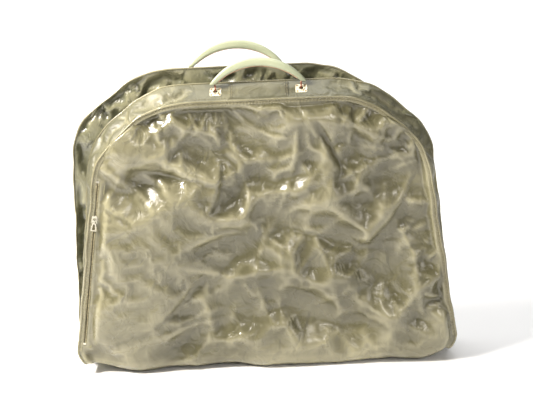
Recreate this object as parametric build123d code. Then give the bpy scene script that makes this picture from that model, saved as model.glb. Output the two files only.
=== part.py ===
from build123d import *
import math
import os

# A folding garment bag, standing on its fold with both handles up.
# Millimetres. X is across the bag, Y through its depth (the front half is at -Y), Z is up.
# The origin is the centre of the flat that the bag stands on.

# ---- driving dimensions ----
VINYL = 0.8                 # thickness of the panels and gussets
BASE_HALF = 310.0           # half of the bag's width at the fold
FOLD_TOP = 45.0             # where the outer panels meet the fold strip
FOLD_RADIUS = 22.0          # rounding of the fold strip
OUTER_Y = 44.0              # the outer panels' inside faces, each side of the middle
RIDGE_Y = 9.0               # the inner panels' outside faces, each side of the middle
CREASE_TOP = 16.0           # where the inner panels end, at the crease between the halves
CREASE_DEPTH = 7.0
CREASE_RADIUS = 5.0
RIDGE_RISE = 22.0           # how far the ridge stands above the outer seam
RIDGE_SPREAD = 10.0         # how far the ridge stands outside the outer seam at the shoulders
SHOULDER_RADIUS = 105.0
CROWN_RADIUS = 140.0
OUTER_PIPING_RADIUS = 1.8
INNER_PIPING_RADIUS = 1.4

# each half: its ridge height, the sideways lean of its top, and half its width at shoulders and crown
HALVES = {
    "front": {"ridge": 466.0, "lean": 4.0, "shoulder": 258.0, "crown": 168.0},
    "back": {"ridge": 488.0, "lean": -30.0, "shoulder": 262.0, "crown": 146.0},
}
SHOULDER_DROP = 85.0        # how far the shoulders are below the crown
LEAN_SHARE = 0.7            # how much of the top's lean the shoulders have

# eyelet plates, rivets and what backs them
PLATE_SPACING = 132.0
PLATE_SIZE = 18.0
PLATE_THICK = 1.0
PLATE_CORNER = 3.0
EYELET_RADIUS = 3.5
EYELET_RIM = 1.5
EYELET_RIM_HEIGHT = 1.0
RIVET_OFFSET = 6.3
RIVET_RADIUS = 1.0
RIVET_HEAD_RADIUS = 1.5
RIVET_HEAD = 0.5
FIT = 0.05                  # clearance of the rivets in their holes
STIFFENER = (190.0, 26.0, 1.5)
PATCH_WIDTH = 94.0
PATCH_THICK = 0.8
PATCH_CLEAR = 1.0           # gap between the patch and each seam

# handle
HANDLE_OUTER_SPAN = 74.0
HANDLE_INNER_SPAN = 66.0
HANDLE_FOOT = 8.5           # lowest edge of the wrap above the hook's axis
HANDLE_OUTER_RISE = 38.0
HANDLE_INNER_RISE = 25.0
HANDLE_DEPTH = 10.0
HANDLE_CHAMFER = 2.4
WRAP_THICK = 1.6
BINDING_THICK = 0.8
BINDING_SHORT = 6.0         # how far short of each foot the binding stops
HOOK_RING = 4.7
HOOK_WIRE = 1.2
HOOK_STEM = 10.0
HOOK_LEAN = 20.0            # how far each stem leans outwards, in degrees
RING_CLEAR = 0.6            # gap round a hook's ring in the slots behind the plates

# zip, beside the left seam of the front panel
ZIP_INSET = 9.0
ZIP_LOW = 60.0
ZIP_HIGH = 325.0
ZIP_SLIDER_Z = 266.0
ZIP_SLOT = 6.4
TAPE_INNER = 9.0            # width of the tape on the panel's side of the chain
TAPE_OUTER = 3.5            # width of the tape on the seam's side
TAPE_THICK = 0.6
TAPE_TAIL = 8.0             # how far the tapes run past the chain at each end
CHAIN_GAP = 0.7
CHAIN_WIDTH = 2.0
CHAIN_THICK = 2.0
CORD_THICK = 1.0            # the cord that a row of teeth is fixed to
TOOTH_PITCH = 3.0
TOOTH_LENGTH = 2.2
STOP_LENGTH = 3.0
SLIDER_WIDTH = 9.0
SLIDER_LENGTH = 14.0
SLIDER_PLATE = 1.2
SLIDER_GAP = 0.3
POST_LENGTH = 5.0           # the post between the slider's two plates
POST_SHIFT = 3.0            # how far it is above the slider's middle
POST_CLEAR = 0.2
EAR_THICK = 1.0             # the ears that carry the bail
EAR_LENGTH = 2.4
BAIL_RADIUS = 0.8
BAIL_CLEAR = 0.06
BAIL_WIDTH = 3.4
BAIL_LIFT = 2.2             # the bail's height above the slider's top
PULL_LENGTH = 18.0
PULL_WIDTH = 10.0
PULL_THICK = 1.2
PULL_NECK = 5.0             # from the bail to the frame
PULL_OVERLAP = 0.5          # how far the neck runs into the frame
PULL_WALL = 1.8
PULL_FLARE = 80.0           # angle between the frame's sides and its foot, in degrees
PULL_CORNER = 1.5
PULL_EYE_RADIUS = 1.7
PULL_SIDE_CLEAR = 0.2

SLOPE = math.atan2(RIDGE_RISE, OUTER_Y - RIDGE_Y)
PARTS = {}


def outline_points(half, raised):
    """The corner points of a half's arched outline, at the outer seam (raised 0) or the ridge (raised 1)."""
    shape = HALVES[half]
    top = shape["ridge"] - RIDGE_RISE * (1 - raised)
    spread = RIDGE_SPREAD * raised
    lean = shape["lean"]
    shoulder = shape["shoulder"] + spread
    crown = shape["crown"]
    middle = LEAN_SHARE * lean
    return [
        (-BASE_HALF, CREASE_TOP),
        (middle - shoulder, top - SHOULDER_DROP),
        (lean - crown, top),
        (lean + crown, top),
        (middle + shoulder, top - SHOULDER_DROP),
        (BASE_HALF, CREASE_TOP),
    ]


def outline_path(half, raised, y):
    points = [Vector(x, y, z) for x, z in outline_points(half, raised)]
    radii = [SHOULDER_RADIUS, CROWN_RADIUS, CROWN_RADIUS, SHOULDER_RADIUS]
    return FilletPolyline(*points, radius=radii)


def outline_face(half, raised, y):
    path = outline_path(half, raised, y)
    closing = Line(path @ 1, path @ 0)
    return make_face(path.edges() + closing.edges())


def above(shape, z):
    """Keep what stands above a level."""
    reach = 2000.0
    return shape & Pos(0, 0, z + reach / 2) * Box(reach, reach, reach)


def seam_face(half):
    return outline_face(half, 0, -OUTER_Y)


def outer_panel(half):
    return above(extrude(seam_face(half), VINYL, dir=(0, -1, 0)), FOLD_TOP)


def inner_panel(half):
    return extrude(outline_face(half, 1, -RIDGE_Y), VINYL, dir=(0, 1, 0))


def gusset(half):
    """The sloping band from the outer seam to the ridge."""
    outside = [seam_face(half), outline_face(half, 1, -RIDGE_Y)]
    whole = loft(outside, ruled=True)
    inside = [offset(face, -VINYL, kind=Kind.INTERSECTION) for face in outside]
    hollow = loft(inside, ruled=True)
    return above(whole - hollow, FOLD_TOP)


def piping(half, raised, y, radius):
    path = outline_path(half, raised, y)
    section = Plane(origin=path @ 0, z_dir=path % 0) * Circle(radius)
    return above(sweep(section, path=path), FOLD_TOP)


def plate_plane(half, side):
    """A plane on the gusset at one plate's centre, with its Y pointing up the slope."""
    shape = HALVES[half]
    middle_y = -(OUTER_Y + RIDGE_Y) / 2
    middle_z = shape["ridge"] - RIDGE_RISE / 2
    normal = (0, -math.sin(SLOPE), math.cos(SLOPE))
    centre = (shape["lean"] + side * PLATE_SPACING / 2, middle_y, middle_z)
    return Plane(origin=centre, x_dir=(1, 0, 0), z_dir=normal)


def lip_middle():
    """How far up the slope the hook's ring has its centre, from the plate's centre."""
    return (EYELET_RADIUS + PLATE_SIZE / 2) / 2


def hook_axis(half, side):
    return plate_plane(half, side) * Pos(0, lip_middle(), PLATE_THICK / 2)


def ring_slot(depth_top, depth):
    """A slot, in the plate's own plane, that lets the hook's ring pass."""
    reach = 2 * (HOOK_RING + HOOK_WIRE + RING_CLEAR)
    width = 2 * (HOOK_WIRE + RING_CLEAR)
    return Pos(0, lip_middle(), depth_top - depth / 2) * Box(width, reach, depth)


def rivet_places():
    return [
        Pos(x * RIVET_OFFSET, y * RIVET_OFFSET, 0)
        for x in (-1, 1)
        for y in (-1, 1)
    ]


def rivet_holes(depth_top, depth):
    hole = Pos(0, 0, depth_top - depth / 2) * Cylinder(RIVET_RADIUS + FIT, depth)
    return [place * hole for place in rivet_places()]


def eyelet_plate(half, side):
    blank = extrude(RectangleRounded(PLATE_SIZE, PLATE_SIZE, PLATE_CORNER), PLATE_THICK)
    rim_height = PLATE_THICK + EYELET_RIM_HEIGHT
    rim = Pos(0, 0, rim_height / 2) * Cylinder(EYELET_RADIUS + EYELET_RIM, rim_height)
    eye = Pos(0, 0, rim_height / 2) * Cylinder(EYELET_RADIUS, 2 * rim_height)
    plate = blank + rim - eye - rivet_holes(PLATE_THICK, PLATE_THICK)
    return plate_plane(half, side) * plate


STACK = VINYL + STIFFENER[2] + PLATE_THICK


def backing_plate(half, side):
    top = -VINYL - STIFFENER[2]
    blank = extrude(RectangleRounded(PLATE_SIZE, PLATE_SIZE, PLATE_CORNER), -PLATE_THICK)
    plate = Pos(0, 0, top) * blank
    plate = plate - ring_slot(0, 2 * STACK) - rivet_holes(0, 2 * STACK)
    return plate_plane(half, side) * plate


def rivets(half, side):
    length = STACK + PLATE_THICK
    shank = Pos(0, 0, PLATE_THICK - length / 2) * Cylinder(RIVET_RADIUS, length)
    head = Pos(0, 0, PLATE_THICK + RIVET_HEAD / 2) * Cylinder(RIVET_HEAD_RADIUS, RIVET_HEAD)
    tail = Pos(0, 0, -STACK - RIVET_HEAD / 2) * Cylinder(RIVET_HEAD_RADIUS, RIVET_HEAD)
    rivet = shank + head + tail
    return [plate_plane(half, side) * place * rivet for place in rivet_places()]


def stiffener(half):
    middle = plate_plane(half, 0)
    wide, deep, thick = STIFFENER
    board = middle * Pos(0, 0, -VINYL - thick / 2) * Box(wide, deep, thick)
    for side in (-1, 1):
        plane = plate_plane(half, side)
        board = board - plane * ring_slot(0, 2 * STACK)
        for hole in rivet_holes(0, 2 * STACK):
            board = board - plane * hole
    return board


def pierced_gusset(half, pipes):
    band = gusset(half)
    for side in (-1, 1):
        plane = plate_plane(half, side)
        band = band - plane * ring_slot(1, 2 * STACK)
        for hole in rivet_holes(1, 2 * STACK):
            band = band - plane * hole
    for pipe in pipes:
        band = band - pipe
    return band


def end_patch(half):
    """The stitched reinforcement between the two plates."""
    slope_length = math.hypot(RIDGE_RISE, OUTER_Y - RIDGE_Y)
    deep = slope_length - 2 * OUTER_PIPING_RADIUS - 2 * PATCH_CLEAR
    return plate_plane(half, 0) * Pos(0, 0, PATCH_THICK / 2) * Box(PATCH_WIDTH, deep, PATCH_THICK)


def crescent(trim):
    """The handle's side view, less a margin all round, with the hook's axis as its base line."""
    foot = HANDLE_FOOT + trim
    outer = HANDLE_OUTER_SPAN - trim
    inner = HANDLE_INNER_SPAN + trim
    outer_top = HANDLE_FOOT + HANDLE_OUTER_RISE - trim
    inner_top = HANDLE_FOOT + HANDLE_INNER_RISE + trim
    outer_arc = ThreePointArc((-outer, foot), (0, outer_top), (outer, foot))
    right_end = Line((outer, foot), (inner, foot))
    inner_arc = ThreePointArc((inner, foot), (0, inner_top), (-inner, foot))
    left_end = Line((-inner, foot), (-outer, foot))
    return make_face([outer_arc, right_end, inner_arc, left_end])


def handle_place(half):
    """The plane of a handle: its X across the bag, its Y up, its origin between the hooks' axes."""
    left = hook_axis(half, -1).position
    right = hook_axis(half, 1).position
    return Plane(origin=(left + right) / 2, x_dir=(1, 0, 0), z_dir=(0, -1, 0))


def handle_parts(half):
    place = handle_place(half)
    lowered = Pos(0, 0, -HANDLE_DEPTH / 2)
    blank = lowered * extrude(crescent(0), HANDLE_DEPTH)
    long_edges = blank.edges().filter_by(GeomType.CIRCLE)
    covered = chamfer(long_edges, HANDLE_CHAMFER)
    core_depth = HANDLE_DEPTH - 2 * WRAP_THICK
    core = Pos(0, 0, -core_depth / 2) * extrude(crescent(WRAP_THICK), core_depth)
    channel = inner_edge_channel()
    hooks = {side: handle_hook(side) for side in (-1, 1)}
    wrap = covered - core - channel - hooks[-1] - hooks[1]
    core = core - hooks[-1] - hooks[1]
    parts = {"core": core, "wrap": wrap, "binding": channel}
    parts["hook_left"] = hooks[-1]
    parts["hook_right"] = hooks[1]
    return {name: place * solid for name, solid in parts.items()}


def inner_edge_channel():
    """The binding along the handle's inner edge, a flat strip bent to the inner arc."""
    inner = HANDLE_INNER_SPAN - BINDING_SHORT
    radius = (HANDLE_INNER_SPAN**2 + HANDLE_INNER_RISE**2) / (2 * HANDLE_INNER_RISE)
    centre_z = HANDLE_FOOT + HANDLE_INNER_RISE - radius
    reach = math.degrees(math.asin(inner / radius))
    half_thick = BINDING_THICK / 2
    outer = CenterArc((0, centre_z), radius + half_thick, 90 - reach, 2 * reach)
    under = CenterArc((0, centre_z), radius - half_thick, 90 - reach, 2 * reach)
    ends = [Line(outer @ 0, under @ 0), Line(outer @ 1, under @ 1)]
    face = make_face([outer, under] + ends)
    deep = HANDLE_DEPTH - 2 * HANDLE_CHAMFER
    return Pos(0, 0, -deep / 2) * extrude(face, deep)


def handle_hook(side):
    """A wire ring round the plate's lip, on a stem that runs up into the handle."""
    across = side * PLATE_SPACING / 2
    ring = Pos(across, 0, 0) * Rot(0, 90, 0) * Torus(HOOK_RING, HOOK_WIRE)
    lean = math.radians(HOOK_LEAN)
    start = Vector(across, HOOK_RING, 0)
    direction = Vector(side * math.sin(lean), math.cos(lean), 0)
    plane = Plane(origin=start, z_dir=direction)
    stem = plane * Pos(0, 0, HOOK_STEM / 2) * Cylinder(HOOK_WIRE, HOOK_STEM)
    return ring + stem


def fold_profile(y_reach, z_low, z_top, radius, thick):
    """A U-shaped channel's section, with a flat bottom."""
    def walls(y, z, r):
        path = [
            Line((-y, z_top), (-y, z + r)),
            CenterArc((-y + r, z + r), r, 180, 90),
            Line((-y + r, z), (y - r, z)),
            CenterArc((y - r, z + r), r, 270, 90),
            Line((y, z + r), (y, z_top)),
        ]
        return path
    outer = walls(y_reach, z_low, radius)
    inner = walls(y_reach - thick, z_low + thick, radius - thick)
    ends = [Line(outer[0] @ 0, inner[0] @ 0), Line(outer[-1] @ 1, inner[-1] @ 1)]
    return make_face(outer + inner + ends)


def fold_channel(y_reach, z_low, z_top, radius, thick):
    section = Plane.YZ * fold_profile(y_reach, z_low, z_top, radius, thick)
    return extrude(section, BASE_HALF, both=True)


def zip_line():
    """The plane of the zip: X across it, Y up along it, Z out of the front panel."""
    low, shoulder = outline_points("front", 0)[:2]
    run = Vector(shoulder[0] - low[0], 0, shoulder[1] - low[1]).normalized()
    across = Vector(run.Z, 0, -run.X)
    at = (ZIP_SLIDER_Z - low[1]) / run.Z
    centre = Vector(low[0], -OUTER_Y - VINYL, low[1]) + run * at + across * ZIP_INSET
    return Plane(origin=centre, x_dir=across, z_dir=(0, -1, 0)), run


ZIP_PLANE, ZIP_RUN = zip_line()
ZIP_UP = (ZIP_HIGH - ZIP_SLIDER_Z) / ZIP_RUN.Z
ZIP_DOWN = (ZIP_SLIDER_Z - ZIP_LOW) / ZIP_RUN.Z
ZIP_LENGTH = ZIP_UP + ZIP_DOWN
ZIP_MIDDLE = (ZIP_UP - ZIP_DOWN) / 2
TAPE_MIDDLE = -VINYL - TAPE_THICK / 2     # the tapes are sewn to the panel's inside


def zip_slot():
    return ZIP_PLANE * Pos(0, ZIP_MIDDLE, 0) * Box(ZIP_SLOT, ZIP_LENGTH + 2 * STOP_LENGTH, 4 * VINYL)


def zip_tapes():
    start = CHAIN_GAP + CHAIN_WIDTH
    tapes = []
    for side, width in ((-1, TAPE_OUTER), (1, TAPE_INNER)):
        place = Pos(side * (start + width / 2), ZIP_MIDDLE, TAPE_MIDDLE)
        tapes.append(ZIP_PLANE * place * Box(width, ZIP_LENGTH + 2 * TAPE_TAIL, TAPE_THICK))
    return tapes


def zip_chain():
    """Two rows of teeth, each on its own cord, with the slider's post running between them."""
    rows = []
    count = int(ZIP_LENGTH / TOOTH_PITCH)
    middle = CHAIN_GAP + CHAIN_WIDTH / 2
    for side in (-1, 1):
        row = Pos(side * middle, ZIP_MIDDLE, TAPE_MIDDLE) * Box(CHAIN_WIDTH, ZIP_LENGTH, CORD_THICK)
        shift = TOOTH_PITCH / 4 * side
        start = -ZIP_DOWN + TOOTH_PITCH
        teeth = [
            Pos(side * middle, start + i * TOOTH_PITCH + shift, TAPE_MIDDLE)
            * Box(CHAIN_WIDTH, TOOTH_LENGTH, CHAIN_THICK)
            for i in range(count - 1)
        ]
        rows.append(ZIP_PLANE * row.fuse(*teeth))
    return rows


def zip_stops():
    width = 2 * (CHAIN_GAP + CHAIN_WIDTH)
    stop = Box(width, STOP_LENGTH, CHAIN_THICK)
    high = Pos(0, ZIP_UP + STOP_LENGTH / 2, TAPE_MIDDLE)
    low = Pos(0, -ZIP_DOWN - STOP_LENGTH / 2, TAPE_MIDDLE)
    return [ZIP_PLANE * high * stop, ZIP_PLANE * low * stop]


def slider_levels():
    """The outer plate's underside and the inner plate's top, measured out of the panel."""
    reach = CHAIN_THICK / 2 + SLIDER_GAP
    return TAPE_MIDDLE + reach, TAPE_MIDDLE - reach


BAIL_LEVEL = slider_levels()[0] + SLIDER_PLATE + BAIL_LIFT


def zip_slider():
    high, low = slider_levels()
    top = Pos(0, 0, high + SLIDER_PLATE / 2) * Box(SLIDER_WIDTH, SLIDER_LENGTH, SLIDER_PLATE)
    top = fillet(top.edges().filter_by(Axis.Z), SLIDER_WIDTH / 3)
    under = Pos(0, 0, low - SLIDER_PLATE / 2) * Box(SLIDER_WIDTH, SLIDER_LENGTH, SLIDER_PLATE)
    under = fillet(under.edges().filter_by(Axis.Z), SLIDER_WIDTH / 3)
    post_width = 2 * (CHAIN_GAP - POST_CLEAR)
    post = Pos(0, POST_SHIFT, (high + low) / 2) * Box(post_width, POST_LENGTH, high - low)
    body = top + under + post
    ear_level = high + SLIDER_PLATE
    for side in (-1, 1):
        ear_height = BAIL_LEVEL + BAIL_RADIUS - ear_level
        place = Pos(side * (BAIL_WIDTH + EAR_THICK) / 2, 0, ear_level + ear_height / 2)
        body = body + place * Box(EAR_THICK, EAR_LENGTH, ear_height)
    body = body + Pos(0, 0, BAIL_LEVEL) * Rot(0, 90, 0) * Cylinder(BAIL_RADIUS, BAIL_WIDTH + EAR_THICK)
    return ZIP_PLANE * body


def pull_outline(margin):
    """The pull's frame seen from in front, wider at its foot, less a margin all round."""
    slope = math.radians(PULL_FLARE)
    inset = margin / math.tan(slope) + margin / math.sin(slope)
    length = PULL_LENGTH - PULL_NECK - 2 * margin
    return Trapezoid(PULL_WIDTH - 2 * inset, length, PULL_FLARE)


def zip_pull():
    """An open frame that hangs from the slider's bail by a short neck."""
    neck_width = BAIL_WIDTH - 2 * PULL_SIDE_CLEAR
    eye = Rot(0, 90, 0) * Cylinder(PULL_EYE_RADIUS, neck_width)
    bore = Rot(0, 90, 0) * Cylinder(BAIL_RADIUS + BAIL_CLEAR, BAIL_WIDTH)
    neck = Pos(0, -PULL_NECK / 2, 0) * Box(neck_width, PULL_NECK, PULL_THICK)
    outline = pull_outline(0)
    blank = extrude(fillet(outline.vertices(), PULL_CORNER), PULL_THICK / 2, both=True)
    window = extrude(pull_outline(PULL_WALL), PULL_THICK, both=True)
    drop = PULL_NECK - PULL_OVERLAP + (PULL_LENGTH - PULL_NECK) / 2
    frame = Pos(0, -drop, 0) * (blank - window)
    body = eye + neck + frame - bore
    return ZIP_PLANE * Pos(0, 0, BAIL_LEVEL) * body


def add(name, shapes, flip):
    """Store a piece, mirrored front to back where the half is the back one."""
    pieces = shapes if isinstance(shapes, list) else [shapes]
    solids = []
    for piece in pieces:
        turned = mirror(piece, about=Plane.XZ) if flip else piece
        solids.extend(turned.solids())
    PARTS[name] = solids[0] if len(solids) == 1 else Compound(children=solids)


def build_half(half):
    flip = half == "back"
    outer_pipe = piping(half, 0, -OUTER_Y - VINYL, OUTER_PIPING_RADIUS)
    inner_pipe = piping(half, 1, -RIDGE_Y, INNER_PIPING_RADIUS)
    panel = outer_panel(half) - outer_pipe
    if half == "front":
        panel = panel - zip_slot()
    pieces = {
        "outer_panel": panel,
        "inner_panel": inner_panel(half) - inner_pipe,
        "gusset": pierced_gusset(half, [outer_pipe, inner_pipe]),
        "outer_piping": outer_pipe,
        "inner_piping": inner_pipe,
        "end_patch": end_patch(half),
        "stiffener": stiffener(half),
        "eyelet_plate_left": eyelet_plate(half, -1),
        "eyelet_plate_right": eyelet_plate(half, 1),
        "backing_plates": [backing_plate(half, side) for side in (-1, 1)],
        "plate_rivets": rivets(half, -1) + rivets(half, 1),
    }
    for name, shapes in pieces.items():
        add(f"{half}_{name}", shapes, flip)
    for name, solid in handle_parts(half).items():
        add(f"{half}_handle_{name}", solid, flip)


def build_fold():
    outer_reach = OUTER_Y + VINYL
    add("fold_strip", fold_channel(outer_reach, 0, FOLD_TOP, FOLD_RADIUS, VINYL), False)
    crease_low = CREASE_TOP - CREASE_DEPTH
    inner = fold_channel(RIDGE_Y, crease_low, CREASE_TOP, CREASE_RADIUS, VINYL)
    add("inner_fold_strip", inner, False)


def build_zip():
    add("zip_tapes", zip_tapes(), False)
    add("zip_chain", zip_chain(), False)
    add("zip_stops", zip_stops(), False)
    add("zip_slider", zip_slider(), False)
    add("zip_pull", zip_pull(), False)


def main():
    build_half("front")
    build_half("back")
    build_fold()
    build_zip()
    os.makedirs("parts", exist_ok=True)
    for name, solid in PARTS.items():
        export_step(solid, f"parts/{name}.step")


main()
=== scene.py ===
import math

import bpy
import numpy as np
from mathutils import Matrix, Vector


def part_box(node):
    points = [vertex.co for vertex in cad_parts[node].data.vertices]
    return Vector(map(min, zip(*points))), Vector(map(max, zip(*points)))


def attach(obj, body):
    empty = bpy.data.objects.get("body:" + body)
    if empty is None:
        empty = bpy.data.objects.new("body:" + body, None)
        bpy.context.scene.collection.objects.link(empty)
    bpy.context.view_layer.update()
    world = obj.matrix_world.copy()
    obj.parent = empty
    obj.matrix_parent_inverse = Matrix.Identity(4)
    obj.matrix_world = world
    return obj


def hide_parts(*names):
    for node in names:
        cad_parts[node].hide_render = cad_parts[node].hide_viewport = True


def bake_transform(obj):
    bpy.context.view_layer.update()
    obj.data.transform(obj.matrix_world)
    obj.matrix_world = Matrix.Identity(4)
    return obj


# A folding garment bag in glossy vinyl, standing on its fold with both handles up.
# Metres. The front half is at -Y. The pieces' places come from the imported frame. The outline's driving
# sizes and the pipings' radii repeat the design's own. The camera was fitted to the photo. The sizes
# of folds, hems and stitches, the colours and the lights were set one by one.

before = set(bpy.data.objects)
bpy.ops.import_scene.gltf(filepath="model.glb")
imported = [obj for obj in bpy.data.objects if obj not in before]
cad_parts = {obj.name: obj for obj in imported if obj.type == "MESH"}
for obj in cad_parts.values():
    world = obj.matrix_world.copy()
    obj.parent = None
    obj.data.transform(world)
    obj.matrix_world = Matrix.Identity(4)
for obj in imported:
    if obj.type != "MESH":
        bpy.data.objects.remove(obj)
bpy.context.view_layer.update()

MM = 0.001

# ---- sizes that the frame's boxes give ----
FOLD_HIGH = Vector(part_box("fold_strip")[1])
CREASE_LOW, CREASE_HIGH = (Vector(corner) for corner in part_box("inner_fold_strip"))
BASE_HALF = FOLD_HIGH.x
FOLD_TOP = FOLD_HIGH.z
OUTER_Y = FOLD_HIGH.y
RIDGE_Y = CREASE_HIGH.y
CREASE_TOP = CREASE_HIGH.z
CREASE_BOTTOM = CREASE_LOW.z

# ---- the outline's driving sizes ----
SHOULDER_HALF = {"front": 258 * MM, "back": 262 * MM}
CROWN_HALF = {"front": 168 * MM, "back": 146 * MM}
SHOULDER_DROP = 85 * MM
RIDGE_SPREAD = 10 * MM
SHOULDER_RADIUS = 105 * MM
CROWN_RADIUS = 140 * MM
FOLD_RADIUS = 22 * MM
CREASE_RADIUS = 5 * MM
LEAN_SHARE = 0.7                # how much of the crown's lean the shoulders have

# ---- seams and edges ----
PIPING_OUTER = 1.8 * MM
PIPING_INNER = 1.4 * MM
SIDE_SHARE = 0.3                # share of the seam's length that each side of a panel's grid takes
HEM_WIDTH = 6 * MM
HEM_FADE = 11 * MM              # how far inside the hem the folds reach their full height
STITCH_PITCH = 5 * MM
SEAM_SWAY = 1.2 * MM            # how far the sewn seams wander
SWAY_WAVES = (0.11, 0.047)      # wavelengths of the wander in the panel's plane
DEPTH_WAVES = (0.083, 0.039)    # and of the wander towards the other half
PLATE_CLEAR = 95 * MM           # half of the crown's stretch that stays straight for the plates
FLOOR_GAP = 0.3 * MM            # between the fold's skin and the floor
FLOOR_HALF = BASE_HALF - 9 * MM     # half of the fold's width where it meets the floor
CORNER_LIFT = 15 * MM           # how far the fold's two ends curl up off the floor
CORNER_TUCK = 9 * MM            # and how far they draw in
CORNER_START = 0.235            # where they start to, from the middle of the fold
CORNER_RUN = 0.08
ZIP_CHAIN_HALF = 2.7 * MM
ZIP_SLOT_HALF = 2.2 * MM        # half of the opening that the zip's teeth lie in
ZIP_GROOVE = 1.4 * MM           # how far the skin dips along the zip
ZIP_GROOVE_HALF = 3.6 * MM
ZIP_STILL = 6 * MM              # the skin is held fast this close to the zip
ZIP_CALM = 7 * MM               # and has no folds this close
ZIP_FADE = 15 * MM

# ---- soft vinyl ----
SEED = 12
CRUMPLE = {"front": 10 * MM, "back": 12 * MM, "inner": 9 * MM}
SLACK = {"outer": 0.010, "inner": 0.012, "gusset": 0.03}    # spare length, as a share, for the solver
REACH = {"outer": 14 * MM, "inner": 9 * MM, "gusset": 7 * MM}   # how far it may move a free place
INNER_FADE = 14 * MM            # how far from its edges an inner panel's folds are at full height
INNER_LOW = 30 * MM             # an inner panel has no folds below this height
INNER_RISE = 40 * MM            # and full ones this much further up
GUSSET_WIDTH = 40 * MM
TALLEST = 14 * MM               # folds that pile up level off towards this height
MINOR_FOLDS = 30
SEAM_FOLDS = 64
GUSSET_FOLDS = 150
CREST_ROUND = 1.5 * MM          # rounding along the top of a fold
LEE = 2.4                       # how much wider one side of a fold is than the other
LARGE_DENT = 78 * MM
SMALL_DENT = 36 * MM
LARGE_SHARE = 3.6               # depth of the large dents, as a share of the crumple height
SMALL_SHARE = 0.9
DENT_ROUND = 0.22               # rounding of a dent's bottom, as a share of its size
DENT_LEVELS = 0.2               # how unevenly deep the dents are
DENT_STRETCH = 1.6              # the longest dents, against round ones
FINE_BLUR = 2                   # rounds of averaging that take the fine crests away
BROAD_BLUR = 110                # and the swellings as well
# Pale crests and dark valleys painted into the vinyl's colour: partly wear, partly painted highlight and
# painted shade.
FLAT_LIGHT_AND_WEAR = 0.46                # level of painted highlight, painted shade and wear on a flat place, from 0 to 1
CREST_LINE = 0.24 * MM          # a fine crest this high adds the next share, as painted highlight and wear; a fine valley gets painted shade
LINE_LIGHT_AND_WEAR = 0.32
CREST_SWELL = 5 * MM            # a swelling this high adds the next share, as painted highlight; a hollow gets painted shade
SWELL_LIGHT_AND_WEAR = 0.12

SIGN = {"front": -1, "back": 1}


def smooth(value):
    """A ramp from 0 to 1 with soft ends."""
    value = np.clip(value, 0, 1)
    return value * value * (3 - 2 * value)


def unit(vectors):
    length = np.linalg.norm(vectors, axis=-1, keepdims=True)
    return vectors / np.maximum(length, 1e-9)


# ---- outlines and seams ----

def lean_of(half):
    low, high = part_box(f"{half}_handle_wrap")
    return (low[0] + high[0]) / 2


def top_of(half, raised):
    """The height of a seam's crown, which is the middle of its piping."""
    node, radius = ("inner_piping", PIPING_INNER) if raised else ("outer_piping", PIPING_OUTER)
    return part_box(f"{half}_{node}")[1][2] - radius


def outline_corners(half, raised):
    """The corners of a half's arched outline, at its outer seam (raised 0) or its ridge (raised 1)."""
    lean = lean_of(half)
    top = top_of(half, raised)
    middle = LEAN_SHARE * lean
    shoulder = SHOULDER_HALF[half] + RIDGE_SPREAD * raised
    crown = CROWN_HALF[half]
    return np.array([
        (-BASE_HALF, CREASE_TOP),
        (middle - shoulder, top - SHOULDER_DROP),
        (lean - crown, top),
        (lean + crown, top),
        (middle + shoulder, top - SHOULDER_DROP),
        (BASE_HALF, CREASE_TOP),
    ])


def rounded(corners, radii, steps=24):
    """The corners' path, with each inner corner turned into an arc."""
    path = [corners[0]]
    for before, corner, after, radius in zip(corners, corners[1:], corners[2:], radii):
        back = unit(before - corner)
        ahead = unit(after - corner)
        half_angle = math.acos(float(back @ ahead)) / 2
        centre = corner + unit(back + ahead) * radius / math.sin(half_angle)
        reach = radius / math.tan(half_angle)
        first = corner + back * reach - centre
        last = corner + ahead * reach - centre
        for share in np.linspace(0, 1, steps):
            path.append(centre + radius * unit((1 - share) * first + share * last))
    path.append(corners[-1])
    return np.array(path)


def resample(path, count, start=0.0, end=1.0):
    """Evenly spaced points along a path, between two shares of its length."""
    steps = np.linalg.norm(np.diff(path, axis=0), axis=1)
    along = np.concatenate([[0], np.cumsum(steps)])
    wanted = np.linspace(start, end, count) * along[-1]
    return np.stack([np.interp(wanted, along, path[:, k]) for k in range(path.shape[1])], axis=1)


def seam_line(half, raised, count, start=0.0, end=1.0, floor=FOLD_TOP):
    """A sewn seam in 3-D, from its left foot over the crown to its right foot."""
    radii = [SHOULDER_RADIUS, CROWN_RADIUS, CROWN_RADIUS, SHOULDER_RADIUS]
    path = rounded(outline_corners(half, raised), radii)
    for foot, beside in ((0, 1), (-1, -2)):
        share = (floor - path[foot][1]) / (path[beside][1] - path[foot][1])
        path[foot] = path[foot] + share * (path[beside] - path[foot])
    flat = resample(path, 2000)
    tangent = unit(np.gradient(flat, axis=0))
    inward = np.stack([tangent[:, 1], -tangent[:, 0]], axis=1)
    along = np.linspace(0, 1, len(flat))
    length = np.linalg.norm(np.diff(flat, axis=0), axis=1).sum()
    turn = 2 * math.pi * along * length
    phase = 1.7 * raised + (0.9 if half == "back" else 0)
    sway = np.sin(turn / SWAY_WAVES[0] + phase) + 0.6 * np.sin(turn / SWAY_WAVES[1] + 2.1 * phase)
    depth = np.sin(turn / DEPTH_WAVES[0] + 3 * phase) + 0.5 * np.sin(turn / DEPTH_WAVES[1] + phase)
    straight = smooth((np.abs(flat[:, 0] - lean_of(half)) - PLATE_CLEAR) / 0.05)
    straight = np.maximum(straight, flat[:, 1] < top_of(half, raised) - SHOULDER_DROP)
    ends = smooth(along / 0.05) * smooth((1 - along) / 0.05)
    fade = (straight * ends)[:, None]
    flat = flat + inward * SEAM_SWAY * 0.6 * (1 + sway[:, None]) * fade
    y = (RIDGE_Y if raised else OUTER_Y) * np.ones(len(flat))
    y = y - SEAM_SWAY * 0.5 * np.maximum(depth, -0.2) * fade[:, 0] * (1 - raised)
    line = np.stack([flat[:, 0], SIGN[half] * y, flat[:, 1]], axis=1)
    return resample(line, count, start, end)


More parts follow.
